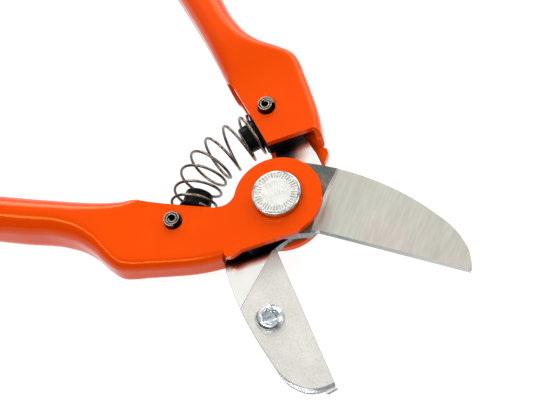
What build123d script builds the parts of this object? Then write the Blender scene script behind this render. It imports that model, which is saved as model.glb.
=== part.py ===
from build123d import *
from math import cos, pi, radians, sin, sqrt
import os

# Bypass pruner, in millimetres.
#
# The origin is on the pivot axis, in the plane of the pivot nut's outer face. +Z runs along the
# pivot bolt towards its head, +X along the centreline between the handles towards the blades, and
# +Y towards the counter handle.
#
# Each half is drawn closed, where both halves share the centreline. The blade half is then turned
# one way and the counter half the other way, to the open rest position.

# ---------------------------------------------------------------- driving dimensions
HALF_OPENING = 24.25

SHEET = 2.0
PLATE = 3.0
NUT_HEIGHT = 4.0
WASHER_THICKNESS = 1.0

REAR_CHEEK_Z = NUT_HEIGHT + WASHER_THICKNESS
CARRIER_Z = REAR_CHEEK_Z + SHEET
MIDDLE_Z = CARRIER_Z + PLATE
FRONT_CHEEK_Z = MIDDLE_Z + PLATE
HEAD_Z = FRONT_CHEEK_Z + SHEET
CHANNEL_HEIGHT = HEAD_Z - REAR_CHEEK_Z
ABOVE_ALL = 40.0

FIT = 0.05
SIDE_GAP = 0.05

BOLT_RADIUS = 4.0
HEAD_RADIUS = 7.5
HEAD_HEIGHT = 2.6
NUT_FLATS = 13.0
WASHER_RADIUS = 8.0

# handle: pressed ear and channel
EAR_RADIUS = 13.4
EAR_SLOPE_ANGLE = 65.6
EAR_FILLET = 5.0
EAR_SHOULDER = [(-7.2, 19.1), (-8.7, 20.8), (-10.7, 21.6)]
WEB_END = (-12.4, 21.9)
CHEEK_CORNER = (-18.4, 5.8)
SLIT_START_X = -34.0
SLIT_END_X = -50.0
SEAM_WIDTH = 0.4
GRIP_LEAN = 0.9
LEAN_START_X = -38.0
LEAN_FULL_X = -60.0
LEAN_FADE_X = -100.0
LEAN_END_X = -148.0

# handle: x, inner y, outer y, height in z, corner radius
HANDLE_STATIONS = [
    (-12.4, 2.5, 21.9, 10.0, 2.8),
    (-20.0, 2.5, 24.8, 10.0, 2.8),
    (-30.0, 2.5, 27.2, 10.0, 2.8),
    (-36.0, 4.2, 28.4, 10.3, 2.9),
    (-40.0, 5.6, 29.2, 11.0, 3.0),
    (-44.0, 6.3, 29.2, 12.2, 3.4),
    (-48.0, 6.7, 27.3, 13.8, 4.4),
    (-53.0, 7.5, 24.0, 15.4, 5.0),
    (-58.0, 8.1, 21.7, 16.5, 5.2),
    (-65.0, 8.6, 20.4, 17.0, 5.3),
    (-80.0, 9.1, 21.1, 17.0, 5.6),
    (-100.0, 9.0, 21.5, 16.0, 5.9),
    (-120.0, 7.3, 20.2, 15.0, 6.0),
    (-140.0, 4.5, 17.0, 15.0, 5.9),
    (-150.0, 2.4, 14.6, 14.2, 5.6),
    (-156.0, 3.2, 13.0, 11.0, 4.4),
    (-158.5, 5.4, 10.8, 6.0, 2.4),
]

# spring pins and seats
PIN_PLACE = (-30.0, 12.2)
PIN_RADIUS = 2.6
PIN_HOLLOW = 1.1
PIN_PROUD = 1.9
SEAT_X = -26.1
SEAT_BASE_Y = 5.7
SEAT_TIP_RADIUS = 4.3
SEAT_BASE_RADIUS = 4.5
SEAT_FLANGE_RADIUS = 5.1
SEAT_TIP_FILLET = 0.6
SEAT_FLANGE = 1.2
BLADE_SEAT_TIP_Y = -0.4
COUNTER_SEAT_TIP_Y = 0.9
SEAT_DEEP_Y = 19.6

# blades
TANG_END_X = -36.0
TANG_INNER_Y = 7.4
TANG_OUTER_Y = 17.9
BLADE_HEEL = (14.0, -8.3)
BLADE_TIP = (60.0, -15.0)
EDGE_THICKNESS = 1.1
SPINE_THICKNESS = 2.8
BLADE_WIDTH = 21.0
GRIND_START = -2.6
GRIND_RAMP = 2.2
GRIND_REACH = 40.0
GRIND_OVERRUN = 6.0
EDGE_BEVEL = 0.6
EDGE_LAND = 0.15
BACK_BEND = (44.0, -26.5)
COUNTER_HEEL = (12.25, -8.4)
COUNTER_TIP = (58.4, -14.25)
COUNTER_THICKNESS = 1.6
SEAM_TOP = (12.25, -9.6)
SEAM_BOTTOM = (23.7, -26.5)
STOP_GAP = 0.3

COUNTER_SCREW = (31.2, -20.5)
SCREW_RADIUS = 2.5
SCREW_HEAD_RADIUS = 4.25
SCREW_HEAD_HEIGHT = 2.0
LOBE_CIRCLE = 1.75
LOBE_RADIUS = 0.5
SOCKET_DEPTH = 1.3
SCREW_NUT_FLATS = 8.0
SCREW_NUT_HEIGHT = 2.7

# return spring
WIRE_RADIUS = 0.45
COIL_RADIUS = 7.05
BLADE_END = (-27.0, -5.5)
COUNTER_END = (-26.5, 5.8)
BLADE_END_RADIUS = 6.7
COUNTER_END_RADIUS = 6.65
BLADE_END_BOW = 15.8
COUNTER_END_BOW = 18.0
START_PHASE = 125.0
SPRING_TURNS = 7.7
TAPER_TURNS = 2.0
CLOSING_TURNS = 2.5
CLOSED_SHARE = 0.17
POINTS_PER_TURN = 10

# wire catch
CATCH_PLACE = (-148.0, 8.6)
CATCH_WIRE = 1.0
CATCH_REACH = 27.0
CATCH_REST_ANGLE = -29.0
CATCH_HALF_SPAN = 8.8
CATCH_STUB = 2.4
CATCH_BEND = 1.6


# ---------------------------------------------------------------- placing
def flip(shape):
    """Half a turn about the centreline at mid height: one half's pieces become the other half's."""
    return Pos(0, 0, MIDDLE_Z) * Rot(180, 0, 0) * Pos(0, 0, -MIDDLE_Z) * shape


def open_blade_half(shape):
    return Rot(0, 0, HALF_OPENING) * shape


def open_counter_half(shape):
    return Rot(0, 0, -HALF_OPENING) * shape


def slab(face, low, high):
    """A flat outline as a plate between two heights."""
    return extrude(Pos(0, 0, low) * face, high - low)


def outline(points):
    return make_face(Polyline(points, close=True))


def post(place, radius, low, high):
    return Pos(place[0], place[1], low) * extrude(Circle(radius), high - low)


def hexagon(place, flats, low, high):
    radius = flats / 2 / cos(radians(30))
    return Pos(place[0], place[1], low) * extrude(RegularPolygon(radius, 6), high - low)


def save(shape, node):
    shape.label = node
    export_step(shape, f"parts/{node}.step")


# ---------------------------------------------------------------- handle
def lean_share(x):
    """How much of the grip's lean there is at a place along the handle, from 0 to 1."""
    rise = (LEAN_START_X - x) / (LEAN_START_X - LEAN_FULL_X)
    fall = (x - LEAN_END_X) / (LEAN_FADE_X - LEAN_END_X)
    return max(0.0, min(1.0, rise, fall))


def handle_section(station, inset, lean):
    """A rounded rectangle across the handle, drawn in by the inset all round."""
    x, inner, outer, height, radius = station
    middle = (inner + outer) / 2 + lean * lean_share(x)
    plane = Plane(origin=(x, middle, MIDDLE_Z), x_dir=(0, 1, 0), z_dir=(1, 0, 0))
    corner = max(radius - inset, 0.8)
    return plane * RectangleRounded(outer - inner - 2 * inset, height - 2 * inset, corner)


def handle_tube(lean):
    """The folded sheet: a channel at the head that closes into a hollow grip."""
    outside = loft([handle_section(station, 0, lean) for station in HANDLE_STATIONS], ruled=True)
    head = (HANDLE_STATIONS[0][0] + 1.0,) + HANDLE_STATIONS[0][1:]
    hollow_stations = [head] + HANDLE_STATIONS[1:-2]
    hollow = loft([handle_section(station, SHEET, lean) for station in hollow_stations], ruled=True)
    return outside - hollow


def channel_mouth():
    """What is open between the cheeks: the channel's inner side, and the slit that narrows to the seam."""
    edge = [(-44.0, 6.5), (-36.0, 6.5), (-30.0, 6.3), CHEEK_CORNER, (0.0, 5.8)]
    mouth = slab(outline(edge + [(0.0, -5.0), (-44.0, -5.0)]), 0, ABOVE_ALL)
    half_gap = CHANNEL_HEIGHT / 2 - SHEET
    wedge = Plane.XZ * outline([
        (SLIT_START_X, MIDDLE_Z - half_gap),
        (SLIT_START_X, MIDDLE_Z + half_gap),
        (SLIT_END_X, MIDDLE_Z + SEAM_WIDTH / 2),
        (SLIT_END_X, MIDDLE_Z - SEAM_WIDTH / 2),
    ])
    slit = extrude(wedge, -10.0)
    return mouth + slit


def ear():
    """The long cheek's end: a disc round the pivot, a shouldered outer edge and a hollow inner fillet."""
    angle = radians(EAR_SLOPE_ANGLE)
    tangent = (EAR_RADIUS * cos(angle), EAR_RADIUS * sin(angle))
    fillet_y = CHEEK_CORNER[1] - EAR_FILLET
    fillet_x = -sqrt((EAR_RADIUS + EAR_FILLET) ** 2 - fillet_y ** 2)
    inside_x = -24.0
    plate = outline([
        (0.0, 0.0), tangent, *EAR_SHOULDER, WEB_END, (inside_x, WEB_END[1]),
        (inside_x, CHEEK_CORNER[1]), (fillet_x, CHEEK_CORNER[1]), (fillet_x, fillet_y),
    ])
    plate = plate - Pos(fillet_x, fillet_y) * Circle(EAR_FILLET) + Circle(EAR_RADIUS)
    return slab(plate, REAR_CHEEK_Z, REAR_CHEEK_Z + SHEET)


def short_cheek_cut():
    """The slanted end of the short cheek, which shows the tang."""
    gone = outline([
        (0.0, 0.0), (CHEEK_CORNER[0], 0.0), CHEEK_CORNER, (-15.0, 19.4), (-12.8, 20.6),
        (-12.8, 40.0), (0.0, 40.0),
    ])
    return slab(gone, FRONT_CHEEK_Z, ABOVE_ALL)


def handle(lean):
    body = handle_tube(lean) - channel_mouth() - short_cheek_cut() + ear()
    body -= post((0, 0), BOLT_RADIUS + FIT, 0, ABOVE_ALL)
    return body - post(PIN_PLACE, PIN_RADIUS + FIT, 0, ABOVE_ALL)


def counter_handle():
    """The grip leans a little towards the centreline."""
    return handle(-GRIP_LEAN)


def blade_handle():
    """The same stamping turned over, leaning away, with the catch's holes drilled near its end."""
    place = (CATCH_PLACE[0], -CATCH_PLACE[1])
    return flip(handle(GRIP_LEAN)) - post(place, CATCH_WIRE + FIT, 0, ABOVE_ALL)


# ---------------------------------------------------------------- spring pins and seats
def spring_pin():
    """A coiled pin through both cheeks, hollow, with its rolled strip's open edge."""
    low = REAR_CHEEK_Z - PIN_PROUD
    high = HEAD_Z + PIN_PROUD
    tube = post(PIN_PLACE, PIN_RADIUS, low, high)
    tube = chamfer(tube.edges().filter_by(GeomType.CIRCLE), 0.4)
    tube -= post(PIN_PLACE, PIN_HOLLOW, low, high)
    gap = Pos(PIN_PLACE[0] + PIN_RADIUS, PIN_PLACE[1], MIDDLE_Z) * Box(2 * PIN_RADIUS, 0.3, ABOVE_ALL)
    return tube - gap


def spring_seat(tip_y):
    """A tapered boss with a flange, on a block that the pin holds beside the tang, in the channel."""
    length = SEAT_BASE_Y - tip_y
    foot = Plane(origin=(SEAT_X, SEAT_BASE_Y, MIDDLE_Z), z_dir=(0, -1, 0))
    boss = foot * Pos(0, 0, length / 2) * Cone(SEAT_BASE_RADIUS, SEAT_TIP_RADIUS, length)
    tip = boss.edges().filter_by(GeomType.CIRCLE).sort_by(Axis.Y)[0]
    boss = fillet(tip, SEAT_TIP_FILLET) + foot * extrude(Circle(SEAT_FLANGE_RADIUS), SEAT_FLANGE)
    block_face = outline([
        (-34.0, SEAT_BASE_Y + 1.5), (-34.0, SEAT_DEEP_Y), (-17.9, SEAT_DEEP_Y), (-16.0, 17.4),
        (-17.2, 6.1), (-18.0, 5.4), (-22.0, SEAT_BASE_Y), (-29.5, SEAT_BASE_Y),
    ])
    block = slab(block_face, MIDDLE_Z + SIDE_GAP, FRONT_CHEEK_Z - SIDE_GAP)
    return boss + block - post(PIN_PLACE, PIN_RADIUS + FIT, 0, ABOVE_ALL)


# ---------------------------------------------------------------- cutting blade
def tang_points():
    """The tang's outline from the disc's outer side round its end to the disc's inner side."""
    return [
        (0.0, 12.6), (-5.0, 17.0), (-10.0, 17.6), (TANG_END_X, TANG_OUTER_Y),
        (TANG_END_X, TANG_INNER_Y), (-17.4, TANG_INNER_Y), (-12.0, 5.4),
    ]


def blade_outline():
    """Spine that falls in one long curve to the point, a straight edge and a small choil at the heel."""
    top = (0.0, 13.4)
    spine_points = [top, (20.0, 11.8), (32.0, 8.5), (45.0, 2.7), (55.0, -4.2), (58.8, -9.4), BLADE_TIP]
    spine = Spline(*spine_points, tangents=[(1, 0), (-0.02, -1)])
    edge = Line(BLADE_TIP, BLADE_HEEL)
    choil = ThreePointArc(BLADE_HEEL, (12.6, -8.6), (12.0, -9.9))
    tang = Polyline((12.0, -9.9), (8.0, -10.6), *[(x, -y) for x, y in tang_points()], top)
    return make_face(spine + edge + choil + tang)


def edge_frame():
    """Axes at the heel of the cutting edge: along the edge, into the blade, and its length."""
    heel = Vector(*BLADE_HEEL, 0)
    along = Vector(*BLADE_TIP, 0) - heel
    return heel, along.normalized(), Vector(0, 0, 1).cross(along.normalized()), along.length


def edge_prism(profile, start, length):
    """A profile of (into the blade, height) points, run along the cutting edge."""
    heel, along, inward, _ = edge_frame()
    plane = Plane(origin=heel + along * start, x_dir=inward, z_dir=along)
    return extrude(plane * outline(profile), length)


def grind():
    """What the wheel took off: a flat that thins towards the edge, with a sloped run-out at the heel."""
    heel, along, inward, length = edge_frame()
    slope = (SPINE_THICKNESS - EDGE_THICKNESS) / BLADE_WIDTH
    edge_z = MIDDLE_Z + EDGE_THICKNESS
    end = length + GRIND_OVERRUN
    flat = edge_prism([
        (-GRIND_OVERRUN, edge_z - slope * GRIND_OVERRUN),
        (GRIND_REACH, edge_z + slope * GRIND_REACH),
        (GRIND_REACH, ABOVE_ALL),
        (-GRIND_OVERRUN, ABOVE_ALL),
    ], GRIND_START, end)
    side = Plane(origin=heel - inward * GRIND_OVERRUN, x_dir=along, z_dir=-inward)
    run_out = extrude(side * outline([
        (GRIND_START, FRONT_CHEEK_Z),
        (GRIND_START + GRIND_RAMP, edge_z),
        (end, 0.0),
        (end, ABOVE_ALL),
        (GRIND_START, ABOVE_ALL),
    ]), -(GRIND_REACH + GRIND_OVERRUN))
    return flat & run_out


def edge_bevel():
    """The narrow steep bevel along the cutting edge."""
    length = edge_frame()[3]
    return edge_prism([
        (-GRIND_OVERRUN, MIDDLE_Z + EDGE_LAND),
        (0.0, MIDDLE_Z + EDGE_LAND),
        (EDGE_BEVEL, MIDDLE_Z + EDGE_THICKNESS + FIT),
        (EDGE_BEVEL, ABOVE_ALL),
        (-GRIND_OVERRUN, ABOVE_ALL),
    ], 0.0, length + GRIND_OVERRUN)


def cutting_blade():
    blade = slab(blade_outline(), MIDDLE_Z, FRONT_CHEEK_Z) - grind() - edge_bevel()
    blade -= post((0, 0), BOLT_RADIUS + FIT, 0, ABOVE_ALL)
    return blade - post((PIN_PLACE[0], -PIN_PLACE[1]), PIN_RADIUS + FIT, 0, ABOVE_ALL)


# ---------------------------------------------------------------- counter-blade and its carrier
def plate_back():
    """The long back shared by the counter-blade and its carrier, from the tip's curve to the seam."""
    return Spline(BACK_BEND, (33.0, -26.9), SEAM_BOTTOM, tangents=[(-1, -0.02), (-1, 0.08)])


def counter_blade_outline():
    tip_points = [COUNTER_TIP, (57.2, -19.6), (51.5, -24.8), BACK_BEND]
    tip = Spline(*tip_points, tangents=[(-0.05, -1), (-1, -0.02)])
    rest = Polyline(SEAM_BOTTOM, SEAM_TOP, COUNTER_HEEL, COUNTER_TIP)
    return make_face(tip + plate_back() + rest)


def counter_blade():
    blade = slab(counter_blade_outline(), MIDDLE_Z - COUNTER_THICKNESS, MIDDLE_Z)
    return blade - post(COUNTER_SCREW, SCREW_RADIUS + FIT, 0, ABOVE_ALL)


def stop_points():
    """The carrier's shoulder that meets the end of the blade handle's web when the pruner is open."""
    turn = radians(2 * HALF_OPENING)
    normal = (cos(turn), sin(turn))
    reach = WEB_END[0] + STOP_GAP
    low_y, high_y = -24.0, -20.9
    return [((reach - normal[1] * y) / normal[0], y) for y in (low_y, high_y)]


def carrier_outline():
    throat_top = (13.4, 2.0)
    throat = ThreePointArc(throat_top, (11.9, -3.4), COUNTER_HEEL)
    tab_end = (58.3, -17.4)
    tab = Polyline(COUNTER_HEEL, COUNTER_TIP, (59.6, -14.4), (59.5, -17.2), (59.0, -17.7), tab_end)
    rim = Spline(tab_end, (56.9, -21.2), (52.0, -25.2), BACK_BEND, tangents=[(-0.2, -1), (-1, -0.02)])
    low, high = stop_points()
    heel = Spline(SEAM_BOTTOM, (15.5, -25.4), low, tangents=[(-1, 0.08), (-1, 0.3)])
    inside = [(-1.0, -13.0), (-12.4, -4.0)]
    tang = Polyline(low, high, *inside, *reversed(tang_points()), (6.0, 12.0), throat_top)
    return make_face(throat + tab + rim + plate_back() + heel + tang)


def insert_recess():
    """Everything beyond the slanted seam, above the recess's floor."""
    beyond = (1.5 * SEAM_BOTTOM[0] - 0.5 * SEAM_TOP[0], 1.5 * SEAM_BOTTOM[1] - 0.5 * SEAM_TOP[1])
    far_x = 80.0
    face = outline([SEAM_TOP, (SEAM_TOP[0], 0.0), (far_x, 0.0), (far_x, beyond[1]), beyond])
    return slab(face, MIDDLE_Z - COUNTER_THICKNESS, ABOVE_ALL)


def counter_blade_carrier():
    carrier = slab(carrier_outline(), CARRIER_Z, MIDDLE_Z) - insert_recess()
    carrier -= post((0, 0), BOLT_RADIUS + FIT, 0, ABOVE_ALL)
    carrier -= post(PIN_PLACE, PIN_RADIUS + FIT, 0, ABOVE_ALL)
    return carrier - post(COUNTER_SCREW, SCREW_RADIUS + FIT, 0, ABOVE_ALL)


def six_lobe_socket():
    """A six-lobed recess: a round core with six lobes on its rim."""
    socket = Circle(LOBE_CIRCLE)
    for place in PolarLocations(LOBE_CIRCLE, 6):
        socket += place * Circle(LOBE_RADIUS)
    return socket


def counter_blade_screw():
    head = post(COUNTER_SCREW, SCREW_HEAD_RADIUS, MIDDLE_Z, MIDDLE_Z + SCREW_HEAD_HEIGHT)
    top = head.edges().filter_by(GeomType.CIRCLE).sort_by(Axis.Z)[-1]
    head = fillet(top, 0.6)
    shank = post(COUNTER_SCREW, SCREW_RADIUS, CARRIER_Z - SCREW_NUT_HEIGHT, MIDDLE_Z)
    floor = MIDDLE_Z + SCREW_HEAD_HEIGHT - SOCKET_DEPTH
    socket = Pos(COUNTER_SCREW[0], COUNTER_SCREW[1], 0) * slab(six_lobe_socket(), floor, ABOVE_ALL)
    return head + shank - socket


def counter_blade_nut():
    nut = hexagon(COUNTER_SCREW, SCREW_NUT_FLATS, CARRIER_Z - SCREW_NUT_HEIGHT, CARRIER_Z)
    return nut - post(COUNTER_SCREW, SCREW_RADIUS + FIT, 0, ABOVE_ALL)


# ---------------------------------------------------------------- pivot
def pivot_bolt():
    head = post((0, 0), HEAD_RADIUS, HEAD_Z, HEAD_Z + HEAD_HEIGHT)
    top = head.edges().filter_by(GeomType.CIRCLE).sort_by(Axis.Z)[-1]
    head = fillet(top, 0.5)
    return head + post((0, 0), BOLT_RADIUS, 0, HEAD_Z)


def pivot_washer():
    hole = post((0, 0), BOLT_RADIUS + FIT, 0, ABOVE_ALL)
    return post((0, 0), WASHER_RADIUS, NUT_HEIGHT, REAR_CHEEK_Z) - hole


def pivot_nut():
    return hexagon((0, 0), NUT_FLATS, 0, NUT_HEIGHT) - post((0, 0), BOLT_RADIUS + FIT, 0, ABOVE_ALL)


# ---------------------------------------------------------------- return spring
def smoothstep(t):
    t = max(0.0, min(1.0, t))
    return t * t * (3 - 2 * t)


def turned(point, angle):
    a = radians(angle)
    return (point[0] * cos(a) - point[1] * sin(a), point[0] * sin(a) + point[1] * cos(a))


def spring_axis(t):
    """A place on the bowed line between the two seats, and its direction there."""
    points = [
        turned(BLADE_END, HALF_OPENING),
        turned((BLADE_END[0], BLADE_END[1] + BLADE_END_BOW), HALF_OPENING),
        turned((COUNTER_END[0], COUNTER_END[1] - COUNTER_END_BOW), -HALF_OPENING),
        turned(COUNTER_END, -HALF_OPENING),
    ]
    weights = [(1 - t) ** 3, 3 * t * (1 - t) ** 2, 3 * t ** 2 * (1 - t), t ** 3]
    slopes = [-3 * (1 - t) ** 2, 3 * (1 - t) * (1 - 3 * t), 3 * t * (2 - 3 * t), 3 * t ** 2]
    place = [sum(w * p[i] for w, p in zip(weights, points)) for i in (0, 1)]
    slope = [sum(w * p[i] for w, p in zip(slopes, points)) for i in (0, 1)]
    size = sqrt(slope[0] ** 2 + slope[1] ** 2)
    return place, (slope[0] / size, slope[1] / size)


def eased(turn):
    """How far the wire has come from an end, if its pitch grows smoothly from nothing to one."""
    u = min(turn / CLOSING_TURNS, 1.0)
    return CLOSING_TURNS * (u ** 3 - u ** 4 / 2) + max(0.0, turn - CLOSING_TURNS)


def spring_run(turn):
    """How far along its axis the wire has come after so many turns, with close coils at both ends."""
    ends = eased(turn) + eased(SPRING_TURNS) - eased(SPRING_TURNS - turn)
    return (2 * CLOSED_SHARE - 1) * turn + (1 - CLOSED_SHARE) * ends


def coil_radius(turn):
    """The end coils are a little narrower than the middle ones."""
    start = 1 - smoothstep(turn / TAPER_TURNS)
    end = 1 - smoothstep((SPRING_TURNS - turn) / TAPER_TURNS)
    narrower = (COIL_RADIUS - BLADE_END_RADIUS) * start + (COIL_RADIUS - COUNTER_END_RADIUS) * end
    return COIL_RADIUS - narrower


def spring_point(turn):
    place, along = spring_axis(spring_run(turn) / spring_run(SPRING_TURNS))
    angle = 2 * pi * turn + radians(START_PHASE)
    radius = coil_radius(turn)
    side = radius * cos(angle)
    return (place[0] - along[1] * side, place[1] + along[0] * side, MIDDLE_Z + radius * sin(angle))


def wire(points, bend, radius):
    """Round wire along a line of points."""
    path = FilletPolyline(*points, radius=bend)
    start = Plane(origin=path @ 0, z_dir=path % 0)
    return sweep(start * Circle(radius), path=path)


def return_spring():
    steps = round(SPRING_TURNS * POINTS_PER_TURN)
    points = [spring_point(i * SPRING_TURNS / steps) for i in range(steps + 1)]
    return wire(points, COIL_RADIUS * 0.8, WIRE_RADIUS)


# ---------------------------------------------------------------- wire catch
def catch_bail():
    """A wire bail that straddles the grip, its two ends turned into holes in the grip's walls."""
    x, y = CATCH_PLACE[0], -CATCH_PLACE[1]
    a = radians(CATCH_REST_ANGLE)
    far = (x + CATCH_REACH * cos(a), y + CATCH_REACH * sin(a))
    low, high = MIDDLE_Z - CATCH_HALF_SPAN, MIDDLE_Z + CATCH_HALF_SPAN
    stub = CATCH_STUB + CATCH_WIRE
    points = [(x, y, low + stub), (x, y, low), (*far, low), (*far, high), (x, y, high), (x, y, high - stub)]
    return wire(points, CATCH_BEND, CATCH_WIRE)


# ---------------------------------------------------------------- all pieces
BLADE_HALF = {
    "blade_handle": blade_handle,
    "cutting_blade": cutting_blade,
    "pivot_bolt": pivot_bolt,
    "pivot_washer": pivot_washer,
    "pivot_nut": pivot_nut,
    "blade_spring_pin": lambda: flip(spring_pin()),
    "blade_spring_seat": lambda: flip(spring_seat(BLADE_SEAT_TIP_Y)),
    "catch_bail": catch_bail,
}
COUNTER_HALF = {
    "counter_handle": counter_handle,
    "counter_blade_carrier": counter_blade_carrier,
    "counter_blade": counter_blade,
    "counter_blade_screw": counter_blade_screw,
    "counter_blade_nut": counter_blade_nut,
    "counter_spring_pin": spring_pin,
    "counter_spring_seat": lambda: spring_seat(COUNTER_SEAT_TIP_Y),
}


def main():
    os.makedirs("parts", exist_ok=True)
    for node, make in BLADE_HALF.items():
        save(open_blade_half(make()), node)
    for node, make in COUNTER_HALF.items():
        save(open_counter_half(make()), node)
    save(return_spring(), "return_spring")


main()
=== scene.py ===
from collections import Counter
from math import atan2, ceil, cos, degrees, hypot, pi, radians, sin, sqrt

import bmesh
import bpy
from mathutils import Matrix, Vector


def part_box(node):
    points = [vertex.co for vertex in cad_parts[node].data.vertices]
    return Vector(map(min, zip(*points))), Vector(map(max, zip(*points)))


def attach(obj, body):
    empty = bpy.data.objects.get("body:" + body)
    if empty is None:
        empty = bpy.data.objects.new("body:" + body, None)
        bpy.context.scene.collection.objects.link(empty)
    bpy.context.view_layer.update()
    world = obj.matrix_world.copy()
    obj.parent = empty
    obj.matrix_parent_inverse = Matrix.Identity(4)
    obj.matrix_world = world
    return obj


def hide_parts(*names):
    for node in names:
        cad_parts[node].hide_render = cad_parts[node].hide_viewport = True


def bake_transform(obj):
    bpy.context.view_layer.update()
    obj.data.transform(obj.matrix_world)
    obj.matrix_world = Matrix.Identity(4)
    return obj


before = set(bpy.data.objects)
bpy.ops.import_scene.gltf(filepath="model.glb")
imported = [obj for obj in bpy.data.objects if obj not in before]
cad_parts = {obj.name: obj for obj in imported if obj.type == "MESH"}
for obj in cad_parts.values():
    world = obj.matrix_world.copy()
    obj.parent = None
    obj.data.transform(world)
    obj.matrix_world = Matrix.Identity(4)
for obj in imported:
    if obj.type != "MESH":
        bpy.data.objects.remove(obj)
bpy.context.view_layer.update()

# Bypass pruner: the looks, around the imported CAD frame.
#
# Shapes are worked out in millimetres and become metres where a mesh is made. Each half is drawn
# closed, on the shared centreline, and then turned to its open rest place, as the CAD is. The
# handle that is drawn is the counter handle; the blade handle is the same stamping turned over.

MM = 0.001

# -------- driving dimensions
HALF_OPENING = 24.25
SHEET = 2.0
REAR_CHEEK_Z = 5.0
CARRIER_Z = 7.0
MIDDLE_Z = 10.0
FRONT_CHEEK_Z = 13.0
HEAD_Z = 15.0

# handle: x, inner y (the cheeks' free edges in the channel), outer y, height in z, corner radius
HANDLE_STATIONS = [
    (-12.4, 5.5, 21.9, 10.0, 2.8),
    (-18.4, 5.8, 24.3, 10.0, 2.8),
    (-30.0, 6.25, 27.2, 10.0, 2.8),
    (-36.0, 6.45, 28.4, 10.3, 2.9),
    (-40.0, 6.55, 29.2, 11.0, 3.0),
    (-44.0, 6.5, 29.2, 12.2, 3.4),
    (-48.0, 6.7, 27.3, 13.8, 4.4),
    (-53.0, 7.5, 24.0, 15.4, 5.0),
    (-58.0, 8.1, 21.7, 16.5, 5.2),
    (-65.0, 8.6, 20.4, 17.0, 5.3),
    (-80.0, 9.1, 21.1, 17.0, 5.6),
    (-100.0, 9.0, 21.5, 16.0, 5.9),
    (-120.0, 7.3, 20.2, 15.0, 6.0),
    (-140.0, 4.5, 17.0, 15.0, 5.9),
    (-150.0, 2.4, 14.6, 14.2, 5.6),
    (-156.0, 3.2, 13.0, 11.0, 4.4),
    (-158.5, 5.4, 10.8, 6.0, 2.4),
]
GRIP_LEAN = 0.9
LEAN_START_X = -38.0
LEAN_FULL_X = -60.0
LEAN_FADE_X = -100.0
LEAN_END_X = -148.0
CHANNEL_START_X = -34.0
FOLD_START_X = -42.0
FOLD_END_X = -49.0
FREE_EDGE_RADIUS = 0.3
HALF_SEAM = 0.2
EAR_RADIUS = 13.4
EAR_SLOPE_ANGLE = 65.6
EAR_FILLET = 5.0
CHEEK_CORNER = (-18.4, 5.8)
SHORT_CORNER_X = -15.0
LONG_CORNER_X = -12.1
EAR_TAB = [(LONG_CORNER_X, 19.9), (-11.6, 21.0), (-10.6, 21.6), (-9.2, 21.2), (-8.0, 20.0), (-6.8, 18.7)]
EDGE_ROUND = 0.32
PIN_PLACE = (-30.0, 12.2)
PIN_RADIUS = 2.6
PIN_HOLE = 2.85
PIN_PROUD = 1.9
PIN_TURNS = 2.3
PIN_STRIP = 0.42
PIN_PITCH = 0.70
SEAT_X = -26.1
SEAT_BASE_Y = 5.7
SEAT_FLANGE = 1.2
SEAT_BLOCK = [
    (-34.0, 7.2), (-34.0, 19.6), (-17.9, 19.6), (-16.0, 17.4),
    (-17.2, 6.1), (-18.0, 5.4), (-22.0, SEAT_BASE_Y), (-29.5, SEAT_BASE_Y),
]
BLADE_SEAT_TIP_Y = -0.4
COUNTER_SEAT_TIP_Y = 0.9

# blades
TANG = [
    (0.0, 12.6), (-5.0, 17.0), (-10.0, 17.6), (-36.0, 17.9),
    (-36.0, 7.4), (-17.4, 7.4), (-12.0, 5.4),
]
SPINE_LINE = [
    (0.0, 13.4), (20.0, 11.8), (32.0, 8.5), (45.0, 2.7), (55.0, -4.2), (58.8, -9.4), (60.0, -15.0),
]
RUNOUT_X = 15.0
FLAT_BORDER = (13.1, 1.5)
GROUND_BORDER = (14.2, 1.5)
BLADE_HEEL = (14.0, -8.3)
BLADE_TIP = SPINE_LINE[-1]
EDGE_THICKNESS = 1.1
SPINE_THICKNESS = 2.8
BLADE_WIDTH = 21.0
EDGE_BEVEL = 0.6
EDGE_LAND = 0.15
COUNTER_HEEL = (12.25, -8.4)
COUNTER_TIP = (58.4, -14.25)
COUNTER_THICKNESS = 1.6
SEAM_TOP = (12.25, -9.6)
SEAM_BOTTOM = (23.7, -26.5)
BACK_BEND = (44.0, -26.5)

# return spring
WIRE_RADIUS = 0.45
COIL_RADIUS = 7.05
BLADE_END = (-27.0, -5.5)
COUNTER_END = (-26.5, 5.8)
BLADE_END_RADIUS = 6.7
COUNTER_END_RADIUS = 6.65
BLADE_END_BOW = 15.8
COUNTER_END_BOW = 18.0
START_PHASE = 125.0
SPRING_TURNS = 7.7
TAPER_TURNS = 2.0
CLOSING_TURNS = 2.5
CLOSED_SHARE = 0.17
RINGS_PER_TURN = 32

# wire catch
CATCH_WIRE = 1.0
CATCH_REACH = 27.0
CATCH_REST_ANGLE = -29.0
CATCH_HALF_SPAN = 8.8
CATCH_STUB = 2.4
CATCH_BEND = 1.6
CATCH_PLACE = (-148.0, -8.6)

# finishes: turns in degrees, places in metres, stretches as factors
GRIND_TURN = 10.0 - HALF_OPENING
GRIND_STRETCH = (1.0, 0.035, 1.0)
HONE_TURN = 8.0 - HALF_OPENING
# painted shade on the carrier plate: a dark patch where it runs into the handle, and a painted shadow band
# along the ear's lower edge
HANDLE_SHADE_PLACE = (-0.0130, 0.0130, 0.010)
EAR_SHADOW_TURN = -50.2
EAR_SHADOW_STRETCH = (0.035, 0.060, 0.0)
EAR_SHADOW_PLACE = (-0.00042, 0.0, 0.0)


# -------- places
def turned(point, angle):
    a = radians(angle)
    return (point[0] * cos(a) - point[1] * sin(a), point[0] * sin(a) + point[1] * cos(a))


def counter_place(point):
    """A point of the drawn half, at the counter half's open place."""
    return (*turned(point[:2], -HALF_OPENING), point[2])


def blade_place(point):
    """A point of the drawn half, turned over and at the blade half's open place."""
    return (*turned((point[0], -point[1]), HALF_OPENING), 2 * MIDDLE_Z - point[2])


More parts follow.
